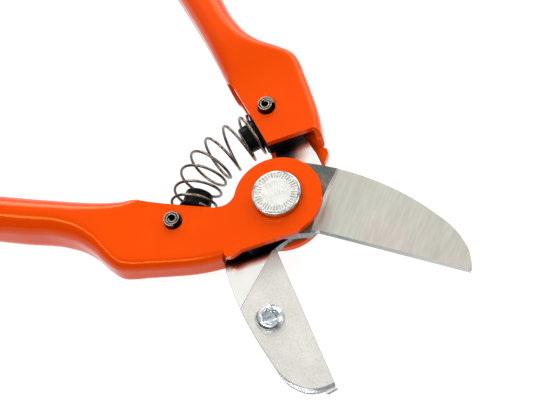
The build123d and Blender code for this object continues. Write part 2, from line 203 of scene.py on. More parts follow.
def blade_level(point):
    """A point drawn in the blade half's own closed place, at its open place."""
    return (*turned(point[:2], HALF_OPENING), point[2])


def measure(node):
    """The middle, radius, bottom and top of a CAD node that stands upright, in millimetres."""
    low, high = (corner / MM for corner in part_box(node))
    return (low + high) / 2, (high.x - low.x) / 2, low.z, high.z


# -------- curves
def lerp(a, b, t):
    return a + (b - a) * t


def smoothstep(t):
    t = max(0.0, min(1.0, t))
    return t * t * (3 - 2 * t)


def hermite(x0, x1, v0, v1, m0, m1, x):
    span = x1 - x0
    t = (x - x0) / span
    return (
        (2 * t ** 3 - 3 * t ** 2 + 1) * v0 + (t ** 3 - 2 * t ** 2 + t) * span * m0
        + (3 * t ** 2 - 2 * t ** 3) * v1 + (t ** 3 - t ** 2) * span * m1
    )


def slopes(xs, values):
    """A smooth slope at each x, from its neighbours on both sides."""
    steps = [(v1 - v0) / (x1 - x0) for x0, x1, v0, v1 in zip(xs, xs[1:], values, values[1:])]
    inner = [
        (a * (x2 - x1) + b * (x1 - x0)) / (x2 - x0)
        for a, b, x0, x1, x2 in zip(steps, steps[1:], xs, xs[1:], xs[2:])
    ]
    return [steps[0]] + inner + [steps[-1]]


def smooth_value(xs, values, x):
    """A smooth curve through the values, at x."""
    ms = slopes(xs, values)
    for i in range(len(xs) - 1):
        if x <= xs[i + 1] or i == len(xs) - 2:
            return hermite(xs[i], xs[i + 1], values[i], values[i + 1], ms[i], ms[i + 1], x)


def smooth_line(points, count, start=None, end=None):
    """Points along a smooth curve through the given ones, with given directions at its ends."""
    lengths = [0.0]
    for a, b in zip(points, points[1:]):
        lengths.append(lengths[-1] + hypot(b[0] - a[0], b[1] - a[1]))
    ms = [slopes(lengths, [p[i] for p in points]) for i in (0, 1)]
    for direction, place in ((start, 0), (end, -1)):
        if direction:
            for i in (0, 1):
                ms[i][place] = direction[i] / hypot(*direction)
    line = []
    for k in range(count + 1):
        s = lengths[-1] * k / count
        i = next((n for n in range(len(points) - 1) if s <= lengths[n + 1] + 1e-9), len(points) - 2)
        span = (lengths[i], lengths[i + 1])
        line.append(tuple(
            hermite(*span, points[i][c], points[i + 1][c], ms[c][i], ms[c][i + 1], s) for c in (0, 1)
        ))
    return line


def arc(centre, radius, start, end, count):
    """Points on a circle from one angle to another, in degrees."""
    angles = [radians(lerp(start, end, i / count)) for i in range(count + 1)]
    return [(centre[0] + radius * cos(a), centre[1] + radius * sin(a)) for a in angles]


def arc_through(a, b, c, count):
    """Points on the circle arc from a through b to c."""
    d = 2 * (a[0] * (b[1] - c[1]) + b[0] * (c[1] - a[1]) + c[0] * (a[1] - b[1]))
    squares = [p[0] ** 2 + p[1] ** 2 for p in (a, b, c)]
    x = (squares[0] * (b[1] - c[1]) + squares[1] * (c[1] - a[1]) + squares[2] * (a[1] - b[1])) / d
    y = (squares[0] * (c[0] - b[0]) + squares[1] * (a[0] - c[0]) + squares[2] * (b[0] - a[0])) / d
    first, mid, last = (atan2(p[1] - y, p[0] - x) for p in (a, b, c))
    mid, last = (first + (angle - first) % (2 * pi) for angle in (mid, last))
    if mid > last:
        last -= 2 * pi
    return arc((x, y), hypot(a[0] - x, a[1] - y), degrees(first), degrees(last), count)


# -------- meshes
def new_object(name, data):
    """An object in the scene that shows a mesh, a light or a camera."""
    thing = bpy.data.objects.new(name, data)
    bpy.context.scene.collection.objects.link(thing)
    return thing


def make_mesh(name, points, faces, indices=None):
    """A mesh object from points in millimetres, its faces turned outwards."""
    mesh = bpy.data.meshes.new(name)
    mesh.from_pydata([Vector(p) * MM for p in points], [], faces)
    if indices:
        mesh.polygons.foreach_set("material_index", indices)
    edit = bmesh.new()
    edit.from_mesh(mesh)
    bmesh.ops.recalc_face_normals(edit, faces=edit.faces)
    edit.to_mesh(mesh)
    edit.free()
    mesh.shade_smooth()
    return new_object(name, mesh)


def soften(piece, width, angle=35.0, segments=3, edge_material=-1):
    """Rounded edges where faces meet at more than the angle, and flat faces that stay flat."""
    bevel = piece.modifiers.new("rounded_edges", "BEVEL")
    bevel.width = width * MM
    bevel.segments = segments
    bevel.limit_method = "ANGLE"
    bevel.angle_limit = radians(angle)
    bevel.harden_normals = True
    bevel.material = edge_material
    weighted = piece.modifiers.new("flat_faces", "WEIGHTED_NORMAL")
    weighted.keep_sharp = True
    return piece


def drill(piece, centre, radius):
    """Cuts a round upright hole through a piece."""
    cutter = make_mesh("drill", *ring_solid(lathe([(radius, -5.0), (radius, 30.0)], centre, 48)))
    cut = piece.modifiers.new("hole", "BOOLEAN")
    cut.object = cutter
    bpy.context.view_layer.update()
    solid = piece.evaluated_get(bpy.context.evaluated_depsgraph_get())
    mesh = bpy.data.meshes.new_from_object(solid)
    piece.modifiers.remove(cut)
    piece.data = mesh
    mesh.shade_smooth()
    bpy.data.objects.remove(cutter)


def loop_quads(first, second, count):
    """Quads between two closed rings of vertices."""
    return [(first + i, first + (i + 1) % count, second + (i + 1) % count, second + i) for i in range(count)]


def wall(first, second):
    """Quads between two open rows of vertices."""
    return list(zip(first, first[1:], second[1:], second))


def hollow_solid(rings):
    """Points and faces of a solid made of equal closed rings, whose last ring meets its first."""
    count, total = len(rings[0]), len(rings) * len(rings[0])
    points = [p for ring in rings for p in ring]
    faces = [f for start in range(0, total, count) for f in loop_quads(start, (start + count) % total, count)]
    return points, faces


def ring_solid(rings):
    """Points and faces of a solid made of equal closed rings, with its two ends closed."""
    count = len(rings[0])
    points, faces = hollow_solid(rings)
    ends = [tuple(range(count)), tuple(range(len(points) - count, len(points)))]
    return points, faces[:-count] + ends


def lathe(profile, centre, sides=96, shape=None):
    """Rings of (radius, height) about an upright axis. The shape may change a radius by its angle."""
    rings = []
    for radius, height in profile:
        ring = []
        for i in range(sides):
            a = 2 * pi * i / sides
            r, z = shape(radius, height, a) if shape else (radius, height)
            ring.append((centre[0] + r * cos(a), centre[1] + r * sin(a), z))
        rings.append(ring)
    return rings


def fillet_profile(radius, height, bend, steps):
    """The rounded corner of a lathe profile, from its top face round to its side."""
    corner = []
    for i in range(steps + 1):
        a = pi / 2 * i / steps
        corner.append((radius - bend + bend * sin(a), height - bend * (1 - cos(a))))
    return corner


def prism(outline, low, high):
    """Points and faces of a flat plate."""
    count = len(outline)
    points = [(x, y, low) for x, y in outline] + [(x, y, high) for x, y in outline]
    faces = [tuple(range(count)), tuple(range(count, 2 * count))] + loop_quads(0, count, count)
    return points, faces


def tube(line, radius, sides):
    """Rings round a line of points, with domed ends."""
    line = [Vector(p) for p in line]
    ways = [(b - a).normalized() for a, b in zip(line, line[1:])]
    ways = [ways[0]] + [(a + b).normalized() for a, b in zip(ways, ways[1:])] + [ways[-1]]
    side = ways[0].orthogonal().normalized()
    dome_height, dome_angle, dome_rings = 0.6 * radius, 79.4118, 3
    dome = [(dome_height * y, x) for x, y in arc((0.0, 0.0), 1.0, 0.0, dome_angle, dome_rings)]
    start = [(-shift, share) for shift, share in reversed(dome)]
    shapes = [start] + [[(0.0, 1.0)]] * (len(line) - 2) + [dome]
    rings = []
    for place, way, shape in zip(line, ways, shapes):
        side = (side - way * side.dot(way)).normalized()
        other = way.cross(side)
        for shift, share in shape:
            rings.append([
                tuple(place + way * shift + (side * cos(a) + other * sin(a)) * radius * share)
                for a in (2 * pi * k / sides for k in range(sides))
            ])
    return rings


def rounded_path(points, bend, steps):
    """A line of points with a round bend at each inner corner."""
    points = [Vector(p) for p in points]
    path = [points[0]]
    for before, corner, after in zip(points, points[1:], points[2:]):
        to, away = (before - corner).normalized(), (after - corner).normalized()
        half = to.angle(away) / 2
        cut = bend / (sin(half) / cos(half))
        centre = corner + (to + away).normalized() * (bend / sin(half))
        start, end = corner + to * cut - centre, corner + away * cut - centre
        turn = start.angle(end)
        for k in range(steps + 1):
            t = k / steps
            path.append(centre + (start * sin((1 - t) * turn) + end * sin(t * turn)) / sin(turn))
    return path + [points[-1]]


def add_line(points, line, height):
    """Adds a line of points at a height, or at heights that are worked out, and returns their numbers."""
    points.extend((x, y, height((x, y)) if callable(height) else height) for x, y in line)
    return list(range(len(points) - len(line), len(points)))


# -------- materials
def new_material(name):
    """An empty node material and its shader."""
    material = bpy.data.materials.new(name)
    material.use_nodes = True
    return material, material.node_tree.nodes["Principled BSDF"]


def plug(owner, socket, value):
    """Links a socket to another one, or gives it a constant."""
    if isinstance(value, bpy.types.NodeSocket):
        owner.node_tree.links.new(value, socket)
    else:
        socket.default_value = (*value, 1.0) if socket.type == "RGBA" else value


def add_node(owner, kind, inputs=None, **settings):
    """A node of a material or a world, with its settings, and its inputs by name or by place."""
    node = owner.node_tree.nodes.new("ShaderNode" + kind)
    for name, value in settings.items():
        setattr(node, name, value)
    for name, value in (inputs or {}).items():
        plug(owner, node.inputs[name], value)
    return node


def coordinates(material, turn=0.0, stretch=(1.0, 1.0, 1.0)):
    """The piece's own coordinates in metres, turned about Z and stretched."""
    place = add_node(material, "TexCoord").outputs["Object"]
    for change in ({"Rotation": (0.0, 0.0, radians(turn))}, {"Scale": stretch}):
        place = add_node(material, "Mapping", {"Vector": place, **change}).outputs[0]
    return place


def noise(material, place, scale, detail=3.0, roughness=0.5):
    inputs = {"Vector": place, "Scale": scale, "Detail": detail, "Roughness": roughness}
    return add_node(material, "TexNoise", inputs).outputs["Fac"]


def ramp(material, factor, stops):
    """Colours or grey levels at places between 0 and 1."""
    node = add_node(material, "ValToRGB", {"Fac": factor})
    elements = node.color_ramp.elements
    while len(elements) < len(stops):
        elements.new(0.5)
    for element, (place, value) in zip(elements, stops):
        element.position = place
        element.color = (*value, 1.0) if isinstance(value, tuple) else (value, value, value, 1.0)
    return node.outputs["Color"]


def levels(material, factor, low, high):
    """A factor stretched to a range of numbers."""
    inputs = {"Value": factor, "To Min": low, "To Max": high}
    return add_node(material, "MapRange", inputs).outputs["Result"]


def nearness(material, place, point, far, near):
    """0 at one distance from a point and beyond it, rising to 1 at a nearer one."""
    reach = add_node(material, "VectorMath", {0: place, 1: point}, operation="DISTANCE").outputs["Value"]
    inputs = {"Value": reach, "From Min": far, "From Max": near}
    return add_node(material, "MapRange", inputs).outputs["Result"]


def mixed(material, factor, first, second, blend="MIX"):
    inputs = {"Factor": factor, 6: first, 7: second}
    return add_node(material, "Mix", inputs, data_type="RGBA", blend_type=blend).outputs[2]


def bump(material, height, depth, below=None):
    """A bump of a real depth in millimetres, on top of another bump if there is one."""
    inputs = {"Height": height, "Distance": depth * MM, "Strength": 1.0}
    if below:
        inputs["Normal"] = below
    return add_node(material, "Bump", inputs).outputs["Normal"]


def feed(material, shader, **sockets):
    for name, value in sockets.items():
        plug(material, shader.inputs[name.replace("_", " ")], value)
    return material


def orange_coat():
    """Glossy powder coat: an even orange with a faint orange-peel surface and a few dust specks."""
    material, shader = new_material("orange_coat")
    place = coordinates(material)
    tone = noise(material, place, 45.0)
    colour = ramp(material, tone, [(0.3, (0.64, 0.044, 0.0)), (0.7, (0.69, 0.051, 0.0))])
    specks = add_node(material, "TexVoronoi", {"Vector": place, "Scale": 95.0}).outputs["Distance"]
    speck = ramp(material, specks, [(0.0, 1.0), (0.028, 0.0)])
    colour = mixed(material, speck, colour, (1.0, 0.30, 0.10))
    peel = noise(material, place, 700.0, 2.0)
    swell = noise(material, place, 70.0, 1.0)
    surface = bump(material, peel, 0.006, bump(material, swell, 0.05))
    shine = levels(material, noise(material, place, 160.0), 0.13, 0.20)
    return feed(material, shader, Base_Color=colour, Roughness=shine, Normal=surface,
                Specular_IOR_Level=0.5, Specular_Tint=(1.0, 0.36, 0.06))


def ground_steel():
    """Steel off the grinding wheel: fine lines across the blade, warm and cool by turns."""
    material, shader = new_material("ground_steel")
    across = coordinates(material, GRIND_TURN, GRIND_STRETCH)
    wide = noise(material, across, 240.0, 4.0, 0.6)
    fine = noise(material, across, 1900.0, 3.0, 0.6)
    cloud = noise(material, coordinates(material), 60.0, 2.0)
    colour = ramp(material, wide, [(0.32, (0.485, 0.462, 0.405)), (0.68, (0.575, 0.542, 0.478))])
    colour = mixed(material, 0.35, colour, ramp(material, fine, [(0.3, 0.40), (0.7, 0.62)]))
    tint = ramp(material, cloud, [(0.35, (0.96, 1.0, 0.96)), (0.65, (1.0, 0.97, 0.94))])
    colour = mixed(material, 1.0, colour, tint, "MULTIPLY")
    return feed(material, shader, Base_Color=colour, Metallic=1.0, Anisotropic=0.5,
                Roughness=levels(material, fine, 0.30, 0.44), Normal=bump(material, fine, 0.004))


def tang_steel():
    """Heat-darkened steel with a green, blue and brown bloom and pale grit."""
    material, shader = new_material("tang_steel")
    place = coordinates(material)
    bloom = noise(material, place, 230.0, 5.0, 0.6)
    colour = ramp(material, bloom, [
        (0.25, (0.045, 0.060, 0.075)), (0.45, (0.085, 0.095, 0.085)),
        (0.58, (0.145, 0.130, 0.095)), (0.75, (0.20, 0.20, 0.18)),
    ])
    grit = noise(material, place, 2600.0, 2.0)
    colour = mixed(material, ramp(material, grit, [(0.58, 0.0), (0.72, 0.45)]), colour, (0.34, 0.34, 0.31))
    return feed(material, shader, Base_Color=colour, Metallic=0.9,
                Roughness=levels(material, bloom, 0.34, 0.5), Normal=bump(material, grit, 0.01))


def bright_steel():
    """Bright rolled plate with a very fine grain, with painted shade and painted dark reflection where it
    runs into the handle, and a painted shadow band along the ear's lower edge.
    """
    material, shader = new_material("bright_steel")
    place = coordinates(material)
    grain = noise(material, place, 2400.0, 3.0, 0.65)
    cloud = noise(material, place, 110.0, 3.0)
    colour = ramp(material, cloud, [(0.3, (0.87, 0.86, 0.82)), (0.7, (0.97, 0.96, 0.92))])
    colour = mixed(material, 0.3, colour, ramp(material, grain, [(0.3, 0.70), (0.65, 0.98)]), "MULTIPLY")
    # painted shade and painted dark reflection, growing towards the handle's mouth
    handle_shade = nearness(material, place, HANDLE_SHADE_PLACE, 0.0115, 0.0040)
    # painted shadow: an oval band along the ear's lower edge
    ear_shadow_coordinates = coordinates(material, EAR_SHADOW_TURN, EAR_SHADOW_STRETCH)
    ear_shadow = nearness(material, ear_shadow_coordinates, EAR_SHADOW_PLACE, 0.00108, 0.00086)
    painted_shade = mixed(material, 1.0, handle_shade, ear_shadow, "LIGHTEN")
    painted_shade = mixed(material, 0.55, painted_shade, grain, "OVERLAY")
    # the painted shade's colours: a reddish fringe, then dark brown, then near-black blue
    shade_colours = ramp(material, painted_shade, [
        (0.0, 1.0), (0.30, (0.72, 0.50, 0.43)), (0.62, (0.16, 0.07, 0.06)), (0.85, (0.010, 0.018, 0.034)),
    ])
    colour = mixed(material, 1.0, colour, shade_colours, "MULTIPLY")
    return feed(material, shader, Base_Color=colour, Metallic=1.0,
                Roughness=levels(material, grain, 0.17, 0.27), Normal=bump(material, grain, 0.006))


def speckled(name, clouds, grains, stops, specks, strength, shine, depth):
    """A pale metal face with soft clouds and fine grey specks."""
    material, shader = new_material(name)
    place = coordinates(material)
    grain = noise(material, place, *grains)
    colour = ramp(material, noise(material, place, *clouds), stops)
    colour = mixed(material, strength, colour, ramp(material, grain, specks), "MULTIPLY")
    return feed(material, shader, Base_Color=colour, Metallic=1.0,
                Roughness=levels(material, grain, *shine), Normal=bump(material, grain, depth))


def satin_steel():
    """The counter-blade's warm satin face."""
    return speckled(
        "satin_steel", (140.0, 4.0), (1500.0, 4.0, 0.7),
        [(0.3, (0.59, 0.573, 0.527)), (0.7, (0.675, 0.657, 0.605))],
        [(0.34, 0.74), (0.50, 1.0)], 0.7, (0.34, 0.48), 0.010,
    )


def disc_steel():
    """The pivot disc's near-white face."""
    return speckled(
        "disc_steel", (330.0, 5.0, 0.65), (2100.0, 3.0, 0.6),
        [(0.3, (0.66, 0.66, 0.62)), (0.65, (0.84, 0.84, 0.80))],
        [(0.30, 0.72), (0.46, 1.0)], 0.8, (0.20, 0.34), 0.006,
    )


def zinc_plate():
    """Bright zinc: bluish and smooth, with small pits, and clouding from dark teal to near white that is
    painted reflection.
    """
    material, shader = new_material("zinc_plate")
    place = coordinates(material)
    cloud = noise(material, place, 420.0, 4.0, 0.6)
    # painted reflection: the clouding's dark teal and pale patches stand in for dark and bright reflections
    colour = ramp(material, cloud, [
        (0.30, (0.19, 0.24, 0.26)), (0.45, (0.44, 0.50, 0.52)), (0.68, (0.82, 0.86, 0.88)),
    ])
    pits = noise(material, place, 2600.0, 2.0)
    return feed(material, shader, Base_Color=colour, Metallic=1.0,
                Roughness=levels(material, cloud, 0.08, 0.16), Normal=bump(material, pits, 0.003))


def black_plastic():
    """Moulded black nylon with a fine satin skin."""
    material, shader = new_material("black_plastic")
    place = coordinates(material)
    skin = noise(material, place, 1800.0, 3.0)
    flow = noise(material, place, 220.0, 2.0)
    colour = ramp(material, flow, [(0.3, (0.0018, 0.0018, 0.002)), (0.7, (0.004, 0.004, 0.0045))])
    return feed(material, shader, Base_Color=colour, Specular_IOR_Level=0.06,
                Roughness=levels(material, skin, 0.24, 0.36), Normal=bump(material, skin, 0.008))


def grained(name, grain, dark, pale, shine, depth, start=0.3, turn=0.0, stretch=(1.0, 1.0, 1.0), **sockets):
    """One grain that sets the colour, the roughness and the relief together."""
    material, shader = new_material(name)
    grain = noise(material, coordinates(material, turn, stretch), *grain)
    return feed(material, shader, Base_Color=ramp(material, grain, [(start, dark), (0.7, pale)]),
                Roughness=levels(material, grain, *shine), Normal=bump(material, grain, depth), **sockets)


GRAINED = {
    # the coat on the sheet's rounded edges, browner and rougher: a painted dark edge line that stands in for
    # the edges' dark reflections
    "shaded_coat_edge": dict(
        grain=(500.0, 4.0, 0.6), dark=(0.45, 0.035, 0.002), pale=(0.66, 0.052, 0.003),
        shine=(0.28, 0.42), depth=0.010, Specular_IOR_Level=0.12, Specular_Tint=(1.0, 0.4, 0.1)),
    # the hollow where the grinding starts: the ground face's fine lines, darker
    "runout_steel": dict(
        grain=(1900.0, 3.0, 0.6), dark=(0.30, 0.285, 0.255), pale=(0.38, 0.36, 0.32),
        shine=(0.34, 0.46), depth=0.004, turn=GRIND_TURN, stretch=GRIND_STRETCH, Metallic=1.0),
    # the narrow honed bevel, bluer and smoother than the ground face
    "bevel_steel": dict(
        grain=(2200.0, 2.0), dark=(0.52, 0.55, 0.53), pale=(0.64, 0.66, 0.64),
        shine=(0.22, 0.32), depth=0.002, turn=HONE_TURN, stretch=(0.06, 1.0, 1.0), Metallic=1.0),
    # sheared and milled plate edges: cool grey with fine lines up and down
    "cut_steel": dict(
        grain=(1700.0, 3.0), dark=(0.17, 0.19, 0.20), pale=(0.33, 0.36, 0.37),
        shine=(0.28, 0.42), depth=0.006, stretch=(1.0, 1.0, 0.12), Metallic=1.0),
    # grime in the disc's pressed bars
    "groove_steel": dict(
        grain=(1400.0, 3.0), dark=(0.27, 0.26, 0.21), pale=(0.55, 0.54, 0.47),
        shine=(0.4, 0.6), depth=0.010, Metallic=0.9),
    # oiled strip steel of the coiled pins' ends, rubbed pale in places
    "dark_steel": dict(
        grain=(900.0, 4.0, 0.6), dark=(0.16, 0.14, 0.115), pale=(0.50, 0.46, 0.40), start=0.35,
        shine=(0.26, 0.42), depth=0.010, Metallic=1.0),
    # the coiled pins' oiled walls
    "black_steel": dict(
        grain=(700.0, 4.0, 0.6), dark=(0.010, 0.008, 0.007), pale=(0.055, 0.042, 0.034), start=0.35,
        shine=(0.24, 0.36), depth=0.008, Metallic=1.0),
    # drawn wire: brown-grey with beige lights
    "spring_steel": dict(
        grain=(1300.0, 4.0, 0.6), dark=(0.085, 0.066, 0.050), pale=(0.25, 0.215, 0.175),
        shine=(0.16, 0.28), depth=0.006, Metallic=1.0),
}
MATERIALS = {name: grained(name, **look) for name, look in GRAINED.items()}
MATERIALS |= {make.__name__: make() for make in (
    orange_coat, ground_steel, tang_steel, bright_steel, satin_steel, disc_steel, zinc_plate, black_plastic,
)}


def dress(piece, node, body, slot, *more):
    """Gives a piece its materials, of which the first is its slot, hides its CAD node, and gives the piece
    its body if there is one.
    """
    for name in (slot, *more):
        piece.data.materials.append(MATERIALS[name])
    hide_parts(node)
    if body:
        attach(piece, body)


# -------- handles
STATION_XS = [station[0] for station in reversed(HANDLE_STATIONS)]
WEB_STEPS = 5
CORNER_STEPS = 8
CHEEK_STEPS = 26
CHANNEL_STEPS = 14


def lean_share(x):
    rise = (LEAN_START_X - x) / (LEAN_START_X - LEAN_FULL_X)
    fall = (x - LEAN_END_X) / (LEAN_FADE_X - LEAN_END_X)
    return smoothstep(min(rise, fall))


def section_at(x, lean):
    """Inner y, outer y, half height, outer and inner corner radius at a place along the handle."""
    inner, outer, height, radius = (
        smooth_value(STATION_XS, [station[i] for station in reversed(HANDLE_STATIONS)], x)
        for i in (1, 2, 3, 4)
    )
    shift = lean * lean_share(x)
    inner_radius = lerp(FREE_EDGE_RADIUS, radius, fold_share(x))
    return inner + shift, outer + shift, height / 2, radius, inner_radius


def fold_share(x):
    """How far the free edges have folded towards each other, from 0 in the channel to 1 in the grip."""
    return smoothstep((FOLD_START_X - x) / (FOLD_START_X - FOLD_END_X))


def section_point(x, lean, part, t):
    """A point of the outer skin and its direction outwards, both as (y, height above the middle)."""
    inner, outer, half, radius, bend = section_at(x, lean)
    if part == "web":
        return (outer, t * (half - radius)), (1.0, 0.0)
    if part == "corner":
        a = pi / 2 * t
        return (outer - radius + radius * cos(a), half - radius + radius * sin(a)), (cos(a), sin(a))
    flat = outer - inner - radius - bend
    folded = pi / 2 * bend + half - bend - HALF_SEAM
    run = t * (flat + fold_share(x) * folded)
    if run <= flat:
        return (outer - radius - run, half), (0.0, 1.0)
    a = (run - flat) / bend
    if a <= pi / 2:
        return (inner + bend - bend * sin(a), half - bend + bend * cos(a)), (-sin(a), cos(a))
    wall = run - flat - bend * pi / 2
    return (inner, half - bend - wall), (-1.0, 0.0)


def across_the_sheet():
    """Each place across the folded sheet from one free edge to the other: side, part and share."""
    half = [("web", i / WEB_STEPS) for i in range(WEB_STEPS)]
    half += [("corner", i / CORNER_STEPS) for i in range(CORNER_STEPS)]
    half += [("cheek", i / CHEEK_STEPS) for i in range(CHEEK_STEPS + 1)]
    return [(1, part, t) for part, t in reversed(half)] + [(-1, part, t) for part, t in half[1:]]


def end_x(side, part, t):
    """Where the sheet ends at the head: square at the web, slanted across the short cheek."""
    web_end = HANDLE_STATIONS[0][0]
    corner = SHORT_CORNER_X if side > 0 else LONG_CORNER_X
    if part == "web":
        return web_end
    if part == "corner":
        return lerp(web_end, corner, smoothstep(t))
    return lerp(corner, CHEEK_CORNER[0], t)


def grip_xs():
    """Places along the grip, closer together where its shape turns."""
    xs = []
    for start, end, step in ((-158.5, -150.0, 0.9), (-150.0, -62.0, 3.0), (-62.0, CHANNEL_START_X, 1.0)):
        count = ceil((end - start) / step)
        xs += [lerp(start, end, i / count) for i in range(count)]
    return xs


def ear_line():
    """The long cheek's ear: from its free corner round the hollow fillet and the disc to the web's end."""
    fillet_y = CHEEK_CORNER[1] - EAR_FILLET
    fillet_x = -sqrt((EAR_RADIUS + EAR_FILLET) ** 2 - fillet_y ** 2)
    meet = degrees(atan2(fillet_y, fillet_x))
    fillet = arc((fillet_x, fillet_y), EAR_FILLET, 90.0, meet - 180.0, 12)
    disc = arc((0.0, 0.0), EAR_RADIUS, meet, EAR_SLOPE_ANGLE + 360.0, 88)
    return fillet[1:] + disc[1:] + EAR_TAB[::-1]


def handle_shell(name, lean, place):
    """The folded sheet as one closed skin: outside, inside, and the edges between them."""
    across = across_the_sheet()
    width = len(across)
    rows = [[(x, *spot) for spot in across] for x in grip_xs()]
    for k in range(CHANNEL_STEPS + 1):
        rows.append([(lerp(CHANNEL_START_X, end_x(*spot), k / CHANNEL_STEPS), *spot) for spot in across])
    outside, inside = [], []
    for row in rows:
        for x, side, part, t in row:
            (y, up), (ny, nup) = section_point(x, lean, part, t)
            outside.append((x, y, MIDDLE_Z + side * up))
            inside.append((x, y - SHEET * ny, MIDDLE_Z + side * (up - SHEET * nup)))
    lines = [range(start, start + width) for start in range(0, len(outside), width)]
    faces = [face for first, second in zip(lines, lines[1:]) for face in wall(first, second)]
    # the ear's face runs from the long cheek's end round the ear line
    cheek_end = len(outside) - 1 - CHEEK_STEPS
    outside += [(x, y, REAR_CHEEK_Z) for x, y in ear_line()]
    inside += [(x, y, REAR_CHEEK_Z + SHEET) for x, y in ear_line()]
    total = len(outside)
    faces.append(tuple(range(cheek_end, total)))
    skins = faces + [tuple(total + i for i in face) for face in faces]
    used = Counter(frozenset(edge) for face in faces for edge in zip(face, face[1:] + face[:1]))
    rims = [tuple(edge) for edge, count in used.items() if count == 1]
    skins += [(a, b, total + b, total + a) for a, b in rims]
    piece = make_mesh(name, [place(p) for p in outside + inside], skins)
    drill(piece, place((*PIN_PLACE, 0.0)), PIN_HOLE)
    # the rounded edges take the second material: the painted dark edge line
    return soften(piece, EDGE_ROUND, 50.0, 3, 1)


# -------- cutting blade
GROUND_FACE, BEVEL_FACE, TANG_FACE, CUT_FACE, RUNOUT_FACE = range(5)


def edge_frame():
    """A unit step along the cutting edge from the heel, and a unit step into the blade."""
    dx, dy = BLADE_TIP[0] - BLADE_HEEL[0], BLADE_TIP[1] - BLADE_HEEL[1]
    size = hypot(dx, dy)
    return (dx / size, dy / size), (-dy / size, dx / size)


def ground_z(point):
    """The height of the ground face at a place on the blade."""
    inward = edge_frame()[1]
    depth = (point[0] - BLADE_HEEL[0]) * inward[0] + (point[1] - BLADE_HEEL[1]) * inward[1]
    return MIDDLE_Z + EDGE_THICKNESS + (SPINE_THICKNESS - EDGE_THICKNESS) * depth / BLADE_WIDTH


def cutting_blade():
    """Flat tang, a sloped run-out, the ground face and the honed bevel, sharing their border points."""
    spine = smooth_line(SPINE_LINE, 120, (1.0, 0.0), (-0.02, -1.0))
    start = next(i for i, p in enumerate(spine) if p[0] > RUNOUT_X)
    choil = arc_through(BLADE_HEEL, (13.0, -8.6), (12.0, -9.9), 8)
    run_steps = 12
    flat_border = arc_through(spine[start], FLAT_BORDER, choil[7], run_steps)
    ground_border = arc_through(spine[start + 1], GROUND_BORDER, choil[4], run_steps)
    tip_back = (BLADE_TIP[0] - 0.35, BLADE_TIP[1] + EDGE_BEVEL)
    heel_back = (BLADE_HEEL[0], BLADE_HEEL[1] + EDGE_BEVEL)

    tang = [(12.0, -9.9), (8.0, -10.6)] + [(x, -y) for x, y in TANG] + [(-4.0, 12.4)]

    def run_height(p):
        """The choil's upper edge, which climbs from the heel to the ground face and up the run-out."""
        place = choil.index(p)
        if place > 4:
            return lerp(ground_z(p), FRONT_CHEEK_Z, smoothstep((place - 4) / 3))
        return lerp(MIDDLE_Z + 0.5, ground_z(p), (place - 1) / 3)

    points = []
    flat_edge, flat_side, tang_edge = (
        add_line(points, line, FRONT_CHEEK_Z) for line in (spine[:start], flat_border, tang))
    ground_side, spine_edge, (tip_top, heel_top) = (
        add_line(points, line, ground_z)
        for line in (ground_border, spine[start + 2:-1], (tip_back, heel_back)))
    tip_low, heel_low = add_line(points, (BLADE_TIP, BLADE_HEEL), MIDDLE_Z + EDGE_LAND)
    choil_run, choil_ground = (
        add_line(points, line, run_height) for line in (choil[5:7], choil[1:4]))
    skin = [
        (flat_edge + flat_side + tang_edge, TANG_FACE),
        ([flat_side[-1], *reversed(choil_run), ground_side[-1]], BEVEL_FACE),
        (ground_side[::-1] + spine_edge + [tip_top, heel_top], GROUND_FACE),
        ([tip_top, tip_low, heel_low, heel_top], BEVEL_FACE),
        ([heel_top, heel_low, *choil_ground, ground_side[-1]], BEVEL_FACE),
    ]
    skin += [(run, RUNOUT_FACE) for run in wall(flat_side, ground_side)]

    rim = flat_edge + [flat_side[0], ground_side[0]] + spine_edge + [tip_top, tip_low, heel_low]
    rim += choil_ground + [ground_side[-1]] + choil_run + [flat_side[-1]] + tang_edge
    low = add_line(points, [points[i][:2] for i in rim], MIDDLE_Z)
    skin += [(side, CUT_FACE) for side in wall(rim + rim[:1], low + low[:1])]
    skin.append((low, GROUND_FACE))
    piece = make_mesh("cutting_blade_ground", [blade_level(p) for p in points], *zip(*skin))
    return soften(piece, 0.10, 28.0, 2)


# -------- counter-blade and carrier
PLATE_FACE, EDGE_FACE, SEAM_FACE = range(3)


def back_line():
    return smooth_line([BACK_BEND, (33.0, -26.9), SEAM_BOTTOM], 14, (-1.0, -0.02), (-1.0, 0.08))


def counter_blade():
    tip_points = [COUNTER_TIP, (57.2, -19.6), (51.5, -24.8), BACK_BEND]
    outline = smooth_line(tip_points, 24, (-0.05, -1.0), (-1.0, -0.02))
    outline += back_line()[1:] + [SEAM_TOP, COUNTER_HEEL]
    points, faces = prism(outline, MIDDLE_Z - COUNTER_THICKNESS, MIDDLE_Z)
    indices = [0, 0] + [1] * (len(faces) - 2)
    piece = make_mesh("counter_blade_insert", [counter_place(p) for p in points], faces, indices)
    return soften(piece, 0.13, 30.0, 2, 1)


def carrier_rim():
    """The carrier's outline beyond the seam, from the heel round the tab and the rim to the back."""
    tab_end = (58.3, -17.4)
    tab = [(59.6, -14.4), (59.5, -17.2), (59.0, -17.7), tab_end]
    rim = smooth_line([tab_end, (56.9, -21.2), (52.0, -25.2), BACK_BEND], 18, (-0.2, -1.0), (-1.0, -0.02))
    return [COUNTER_TIP] + tab + rim[1:] + back_line()[1:-1]


def carrier_head():
    """The carrier's outline on the handle's side of the seam, from the back round the tang to the throat."""
    turn = radians(2 * HALF_OPENING)
    reach = HANDLE_STATIONS[0][0] + 0.3
    low, high = [((reach - sin(turn) * y) / cos(turn), y) for y in (-24.0, -20.9)]
    heel = smooth_line([SEAM_BOTTOM, (15.5, -25.4), low], 14, (-1.0, 0.08), (-1.0, 0.3))
    throat = arc_through((13.4, 2.0), (11.9, -3.4), COUNTER_HEEL, 14)
    inside = [high, (-1.0, -13.0), (-12.4, -4.0)]
    return heel + inside + TANG[::-1] + [(6.0, 12.0)] + throat[:-1]


